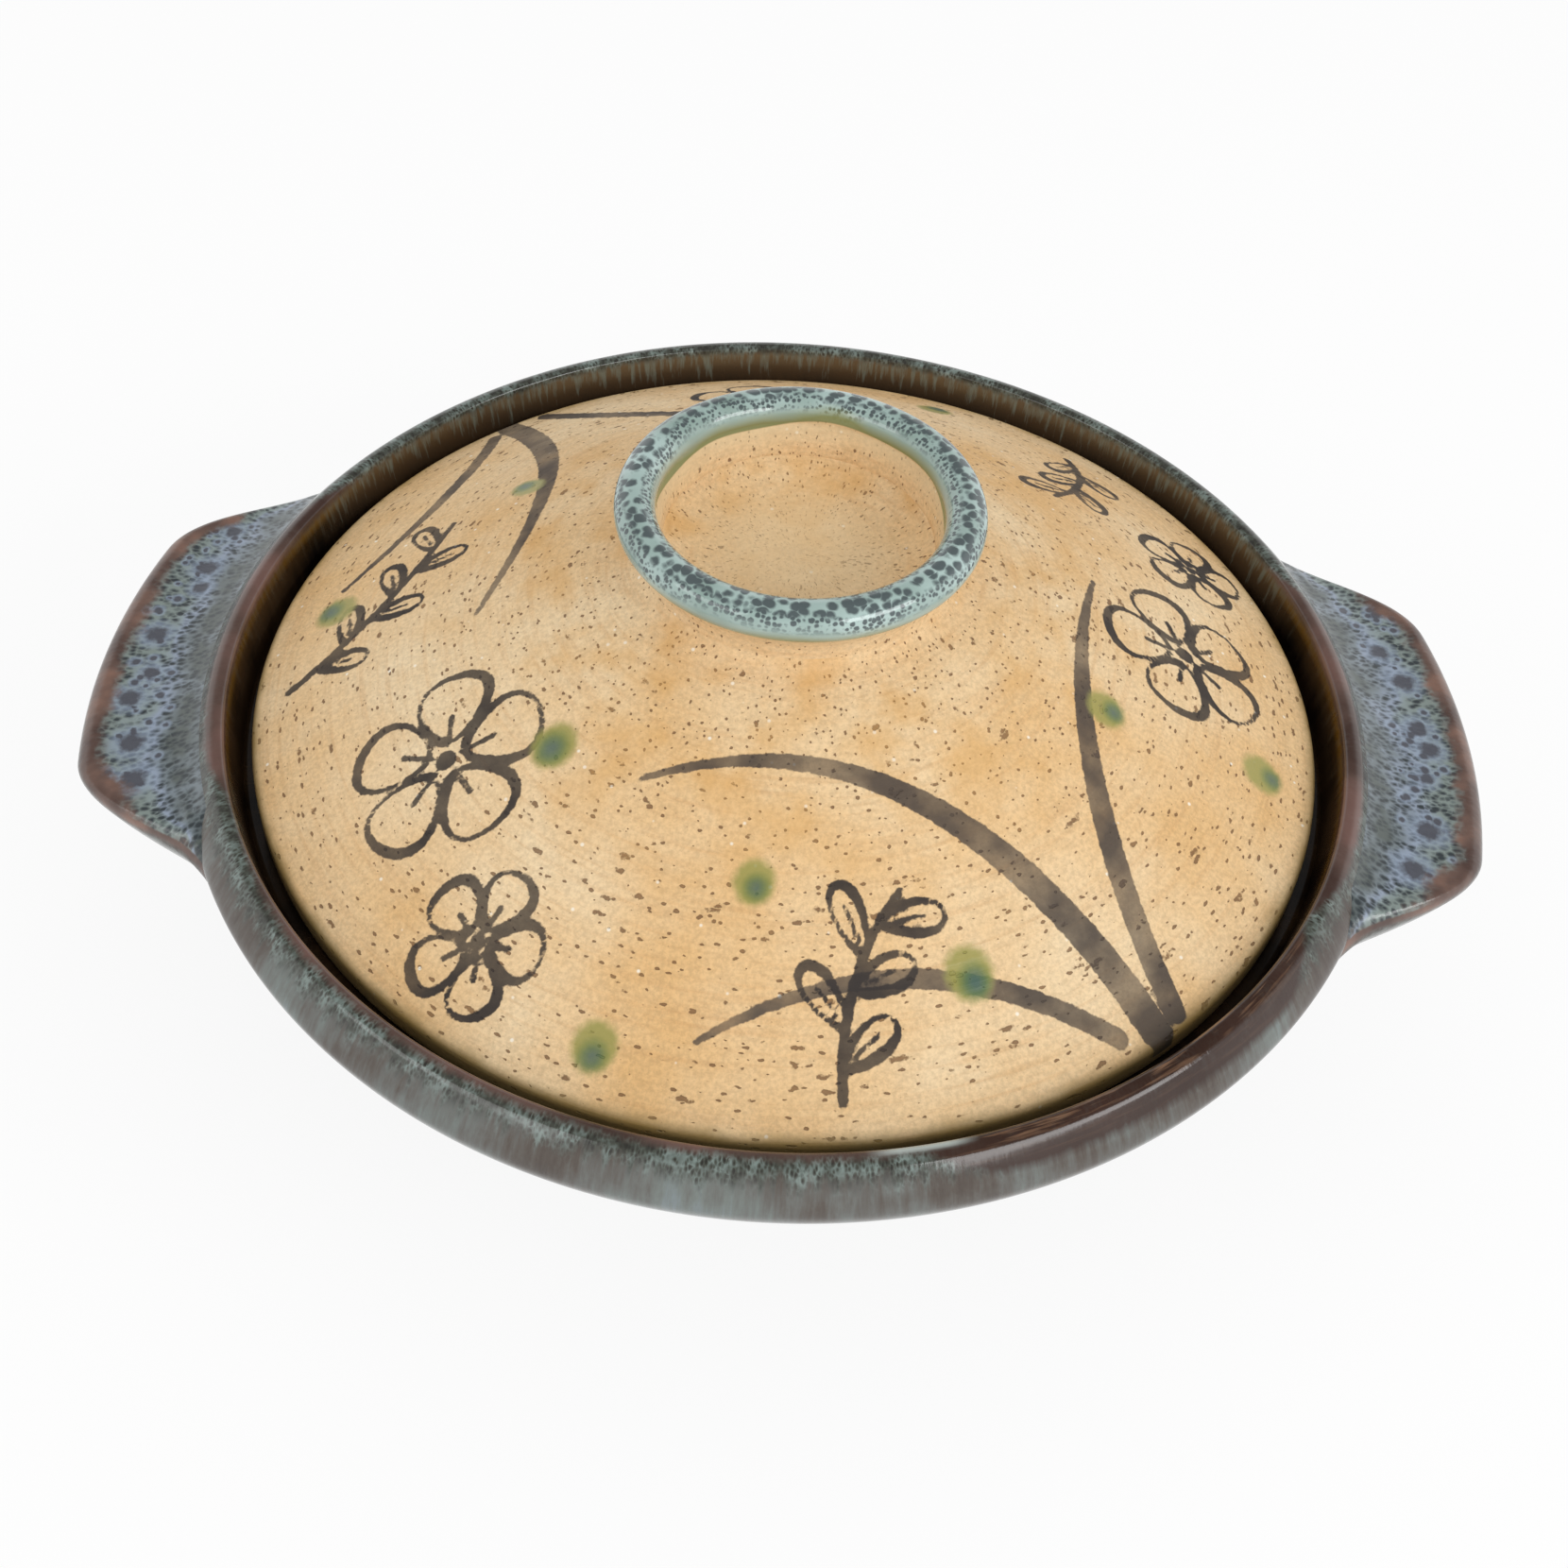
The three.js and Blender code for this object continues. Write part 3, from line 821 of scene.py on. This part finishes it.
def lace(add, place, hole_mm, least, most, soft, stray=1.0):
    """Share of pale crystal in a glaze: a lace whose dark holes are round cells, pushed about by noise. A
    hole's radius is least to most of a cell, its border is soft wide, and cells stray from an even grid."""
    warp = add("TexNoise", {"Vector": place, "Scale": per_metre(1.6 * hole_mm), "Detail": 3.0}, out="Color")
    pushed = add("VectorMath", {0: warp, 1: (0.9 * hole_mm * MM,) * 3, 2: place}, operation="MULTIPLY_ADD")
    cells = add("TexVoronoi", {"Vector": pushed, "Scale": per_metre(hole_mm), "Randomness": stray})
    pick = add("SeparateColor", {0: cells.node.outputs["Color"]})
    size = ramp(add, pick, 0.0, 1.0, least, most)
    gap = add("Math", {0: cells, 1: size}, operation="SUBTRACT")
    return ramp(add, gap, -soft, soft)


def pot_glaze():
    """Iron glaze, dipped, run and fired glossy: a lace of grey-green crystals on the crest that runs down in
    streaks, soft grey on the face, lighter low down as a painted reflection of the white floor, brown where
    it drew back, darker on one thin patch with paler brown painted highlight streaks along the rim, a pale
    painted highlight on one spot of the crest, black-brown inside, and bare clay on the foot."""
    material, add = new_material("hares_fur_iron_glaze_dipped")
    streak_mm, run_mm, patch_mm, clump_mm, crystal_mm = 1.3, 9.0, 22.0, 3.5, 0.58
    # The next two set the width and run of the painted highlight streaks on the thin patch
    highlight_streak_mm, highlight_run_mm = 0.8, 13.0
    crystal_draw = 0.55
    place = add("TexCoord", out="Object")
    flow = add("Attribute", out="Vector", attribute_name="flow")
    from_crest, brown_to, thin, milk, olive, bare = (
        add("Attribute", out="Fac", attribute_name=name)
        for name in ("from_crest", "brown_to", "thin", "milk", "olive", "bare"))
    drawn = add("VectorMath", {0: flow, 1: (1 / streak_mm, 1 / streak_mm, 1 / run_mm)}, operation="MULTIPLY")
    fur = add("TexNoise", {"Vector": drawn, "Scale": 1.0, "Detail": 4.0, "Roughness": 0.6})
    patch = add("TexNoise", {"Vector": flow, "Scale": 1 / patch_mm, "Detail": 3.0})
    crystal_flow = add("VectorMath", {0: flow, 1: (MM, MM, crystal_draw * MM)}, operation="MULTIPLY")
    crystal = lace(add, crystal_flow, crystal_mm, 0.15, 0.6, 0.3)
    clump = add("TexNoise", {"Vector": place, "Scale": per_metre(clump_mm), "Detail": 3.0, "Roughness": 0.6})
    dense = ramp(add, clump, 0.36, 0.64, 0.12, 0.95)
    frosting = times(add, crystal, dense)
    frost = add("ValToRGB", {"Fac": frosting}, stops=[
        (0.0, "#302f2b"), (0.3, "#474a43"), (0.65, "#616a65"), (1.0, "#7a8782")])
    soft = blend(add, 0.72, fur, patch)
    face = add("ValToRGB", {"Fac": soft}, stops=[
        (0.36, "#443831"), (0.44, "#534a43"), (0.51, "#62615d"), (0.59, "#707773"), (0.68, "#7f8a8f")])
    frayed = times(add, fur, -9.0, from_crest)
    on_face = ease(add, frayed, -1.8, 2.2, 0.0, 0.92)
    # Painted reflection of the white floor: the face turns a lighter grey low down, where it curves under
    painted_floor_reflection = ramp(add, from_crest, 8.0, 15.0, 0.0, 0.3)
    face = mix(add, painted_floor_reflection, face, "#868b8c")
    outside = mix(add, on_face, frost, face)
    brown = add("ValToRGB", {"Fac": patch}, stops=[(0.36, "#402d27"), (0.5, "#57433c"), (0.64, "#6d524b")])
    thin_dark = times(add, thin, 0.85)
    brown = mix(add, thin_dark, brown, "#2c170c")
    # Painted highlight: paler brown streaks along the rim near the crest's inner edge on the thin patch,
    # where a softbox reflects
    along = add("VectorMath", {
        0: flow, 1: (1 / highlight_run_mm, 1 / highlight_run_mm, 1 / highlight_streak_mm)}, operation="MULTIPLY")
    highlight_streak = add("TexNoise", {"Vector": along, "Scale": 1.0, "Detail": 3.0, "Roughness": 0.6})
    highlight_streak_some = ramp(add, highlight_streak, 0.52, 0.66, 0.0, 0.7)
    by_lid = ramp(add, from_crest, 0.6, 2.6, 1.0, 0.12)
    highlight_streak_near = times(add, highlight_streak_some, by_lid)
    highlight_streak_share = times(add, highlight_streak_near, thin)
    brown = mix(add, highlight_streak_share, brown, "#8d6b52")
    wander = times(add, fur, 1.6, from_crest)
    past_brown = add("Math", {0: wander, 1: brown_to}, operation="SUBTRACT")
    brown_share = ramp(add, past_brown, 0.4, 2.0, 0.95, 0.0)
    outer = mix(add, brown_share, outside, brown)
    # Painted highlight: the pale spot on the crest where a softbox reflects
    with_crest_highlight = mix(add, milk, outer, "#b4bdb8")
    depth = ramp(add, from_crest, -9.5, -1.5)
    dark = add("ValToRGB", {"Fac": depth}, stops=[
        (0.0, "#1c1510"), (0.45, "#453627"), (0.75, "#594833"), (1.0, "#66543d")])
    amber = add("ValToRGB", {"Fac": depth}, stops=[
        (0.3, "#100c0a"), (0.62, "#2b1d0e"), (0.82, "#5b4013"), (1.0, "#60482a")])
    wall = mix(add, olive, dark, amber)
    mottle = ramp(add, soft, 0.42, 0.62, 0.0, 0.45)
    wall = mix(add, mottle, wall, "#4d3824")
    run_down = times(add, fur, 26.0, from_crest)
    hair = ramp(add, run_down, 8.5, 13.0, 0.0, 0.75)
    plain = ramp(add, olive, 0.0, 1.0, 1.0, 0.15)
    hair_share = times(add, hair, plain)
    inside = mix(add, hair_share, wall, "#6c7267")
    turn_in = times(add, fur, 1.5, from_crest)
    within = ramp(add, turn_in, -0.6, -1.8)
    glaze = mix(add, within, with_crest_highlight, inside)
    colour = mix(add, bare, glaze, "#a98863")
    rough = blend(add, bare, 0.13, 0.85)
    end_material(add, colour, rough, fur, 0.1, 0.4, GLAZE_IOR)
    return material


def handle_glaze():
    """The same iron glaze lying thick and flat on the lugs: dark oil spots with milky rims in a lace of
    grey-green and lavender crystals, brown where it drew back from the edges, grey underneath."""
    material, add = new_material("oil_spot_iron_glaze_dipped")
    patch_mm, ragged_mm, crystal_mm, crystal_draw = 9, 1.5, 0.95, 0.6
    place = add("TexCoord", out="Object")
    flow = add("Attribute", out="Vector", attribute_name="flow")
    edge, spot, across = (
        add("Attribute", out="Fac", attribute_name=name) for name in ("edge", "spot", "across"))
    patch = add("TexNoise", {"Vector": place, "Scale": per_metre(patch_mm), "Detail": 3.0})
    ragged = add("TexNoise", {
        "Vector": place, "Scale": per_metre(ragged_mm), "Detail": 4.0, "Roughness": 0.6})
    drawn = add("VectorMath", {0: flow, 1: (MM, MM, crystal_draw * MM)}, operation="MULTIPLY")
    crystal = lace(add, drawn, crystal_mm, 0.28, 0.62, 0.26)
    zone = times(add, patch, 0.9, across)
    pale = add("ValToRGB", {"Fac": zone}, stops=[
        (0.42, "#565d5a"), (0.58, "#757f85"), (0.74, "#8f9aab"), (0.86, "#879394"), (1.0, "#7e8985")])
    ground = mix(add, crystal, "#383e41", pale)
    spread = times(add, ragged, 0.9, spot)
    halo = ramp(add, spread, 1.35, 2.2, 0.6, 0.0)
    rimmed = mix(add, halo, ground, "#8f9db0")
    heart = ramp(add, spread, 1.0, 1.4, 0.92, 0.0)
    spotted = mix(add, heart, rimmed, "#4b4b52")
    brown = add("ValToRGB", {"Fac": patch}, stops=[(0.36, "#4f3d37"), (0.5, "#665149"), (0.66, "#826457")])
    uneven = times(add, ragged, 3.2, edge)
    wavy = times(add, patch, -5.0, uneven)
    on_top = ease(add, wavy, 2.2, 5.2)
    upper = mix(add, on_top, brown, spotted)
    below = add("ValToRGB", {"Fac": ragged}, stops=[(0.35, "#2f2a26"), (0.66, "#636863")])
    under = ramp(add, edge, 0.4, -2.2)
    colour = mix(add, under, upper, below)
    end_material(add, colour, 0.16, crystal, 0.04, 0.5, GLAZE_IOR)
    return material


def knob_glaze():
    """Pale grey-green glaze, dipped thick on the roll: charcoal cells in a pale net along the crest, olive
    where it thins at its ends, and the bare clay of the lid beyond the glaze line."""
    material, add = new_material("celadon_glaze_over_stoneware_dipped")
    patch_mm, crest_aside, cell_soft, cell_stray = 13, 0.6, 0.1, 0.72
    nets = ((0.9, 0.36, 0.58, 0.5, 2.2), (2.1, 0.43, 0.62, -1.5, -0.5))
    clay, clay_rough, clay_height = clay_pattern(add)
    spin = add("Attribute", out="Vector", attribute_name="spin")
    glazed, roll = (add("Attribute", out="Fac", attribute_name=name) for name in ("glazed", "roll"))
    place = add("TexCoord", out="Object")
    patch = add("TexNoise", {"Vector": place, "Scale": per_metre(patch_mm), "Detail": 2.0})
    past_crest = add("Math", {0: roll, 1: crest_aside}, operation="SUBTRACT")
    off_crest = add("Math", {0: past_crest}, operation="ABSOLUTE")
    uneven = times(add, patch, -6.0, off_crest)
    unrolled = add("VectorMath", {0: spin, 1: (RING_R * MM, RING_R * MM, MM)}, operation="MULTIPLY")
    cells = 0.0
    for hole_mm, least, most, inner, outer in nets:
        net = lace(add, unrolled, hole_mm, least, most, cell_soft, cell_stray)
        zone = ramp(add, uneven, inner, outer, 1.0, 0.0)
        dark = ramp(add, net, 0.0, 1.0, 0.92, 0.0)
        cells = blend(add, zone, cells, dark)
    milk = add("ValToRGB", {"Fac": patch}, stops=[(0.35, "#8da29b"), (0.65, "#b0c5c1")])
    celled = mix(add, cells, milk, "#474f52")
    ends = times(add, patch, -5.0, glazed)
    olive = ramp(add, ends, -1.8, 0.6, 0.9, 0.0)
    thick = mix(add, olive, celled, "#7f8450")
    cover = ramp(add, glazed, -0.1, 0.15)
    halo = ramp(add, glazed, -4.5, -0.5, 0.0, 0.6)
    washed = mix(add, halo, clay, "#dcc79f")
    colour = mix(add, cover, washed, thick)
    rough = blend(add, cover, clay_rough, 0.08)
    height = blend(add, cover, clay_height, 0.2)
    end_material(add, colour, rough, height, 1.0, 0.6, GLAZE_IOR)
    return material


# Stage

def seen_directly(add):
    """1 for camera, glossy and transmission rays, and 0 for the rest."""
    rays = add("LightPath").node.outputs
    either = add("Math", {0: rays["Is Camera Ray"], 1: rays["Is Glossy Ray"]}, operation="MAXIMUM")
    return add("Math", {0: either, 1: rays["Is Transmission Ray"]}, operation="MAXIMUM")


def make_floor():
    """Pale floor that keeps a soft shadow: part white paint, part plain white to the camera."""
    corners = np.array([[-1, -1, 0], [1, -1, 0], [1, 1, 0], [-1, 1, 0]]) * FLOOR_HALF / MM
    floor = make_mesh("floor", corners, np.arange(4), np.zeros(1), {})
    material, add = new_material("white_paper_floor")
    paint = add("BsdfDiffuse", {"Color": "#f2f2f2"})
    white = add("Emission", {"Color": "#ffffff", "Strength": 1.0})
    share = times(add, seen_directly(add), FLOOR_WHITE)
    mixed = add("MixShader", {0: share, 1: paint, 2: white})
    add("OutputMaterial", {"Surface": mixed})
    floor.data.materials.append(material)


def make_world():
    """Even studio light. The camera and reflections see a white backdrop that fades to a dim ceiling."""
    world = bpy.data.worlds.new("studio")
    bpy.context.scene.world = world
    world.use_nodes = True
    world.node_tree.nodes.clear()
    add = partial(add_node, world.node_tree)
    direction = add("TexCoord", out="Generated")
    up = add("SeparateXYZ", {0: direction}, out="Z")
    room = ease(add, up, BACKDROP_TOP, CEILING_EDGE, 1.0, CEILING)
    strength = blend(add, seen_directly(add), AMBIENT, room)
    light = add("Background", {"Color": "#ffffff", "Strength": strength})
    add("OutputWorld", {"Surface": light})


def make_softbox(name, side, power):
    """Upright softbox in front, to the left at -1 or the right at 1, turned to the pot."""
    lamp = bpy.data.lights.new(name, "AREA")
    lamp.shape = "RECTANGLE"
    lamp.size = SOFTBOX_WIDTH
    lamp.size_y = SOFTBOX_HEIGHT
    lamp.energy = power
    holder = bpy.data.objects.new(name, lamp)
    holder.location = (side * SOFTBOX_ASIDE, SOFTBOX_FRONT, SOFTBOX_UP)
    aim = Vector((0, 0, RIM_Z * MM)) - holder.location
    holder.rotation_euler = aim.to_track_quat("-Z", "Y").to_euler()
    bpy.context.scene.collection.objects.link(holder)


def make_camera():
    """Camera at the photograph's angle: raised, rolled and set off from the lid's centre as fitted."""
    camera = bpy.data.cameras.new("camera")
    camera.sensor_width = SENSOR
    camera.lens = SENSOR * FOCAL_PIXELS / FRAME_PIXELS
    camera.clip_start = 0.01
    right = Vector((1, 0, 0))
    forward = Vector((0, math.cos(VIEW_ELEVATION), -math.sin(VIEW_ELEVATION)))
    up = Vector((0, math.sin(VIEW_ELEVATION), math.cos(VIEW_ELEVATION)))
    target = Vector((0, 0, VIEW_TARGET_Z))
    place = target - forward * VIEW_DISTANCE + right * VIEW_SHIFT_RIGHT + up * VIEW_SHIFT_UP
    across = right * math.cos(VIEW_ROLL) + up * math.sin(VIEW_ROLL)
    above = up * math.cos(VIEW_ROLL) - right * math.sin(VIEW_ROLL)
    holder = bpy.data.objects.new("camera", camera)
    turn = Matrix((across, above, -forward)).transposed().to_4x4()
    holder.matrix_world = Matrix.Translation(place * MM) @ turn
    bpy.context.scene.collection.objects.link(holder)
    bpy.context.scene.camera = holder


make_camera()
finish_piece(make_bowl(), pot_glaze(), "pot", "pot_glaze", "pot_bowl")
lug_glaze = handle_glaze()
finish_piece(make_handle("right_handle_lug", 1, 4), lug_glaze, "pot", "handle_glaze", "right_handle")
finish_piece(make_handle("left_handle_lug", -1, 9), lug_glaze, "pot", "handle_glaze", "left_handle")
finish_piece(make_lid(), lid_clay(), "lid", "lid_clay", "lid_dome")
finish_piece(make_knob(), knob_glaze(), "lid", "knob_glaze", "lid_knob")
make_floor()
make_world()
make_softbox("left_softbox", -1, 1.8)
make_softbox("right_softbox", 1, 4.6)
bpy.context.scene.view_settings.view_transform = "Standard"
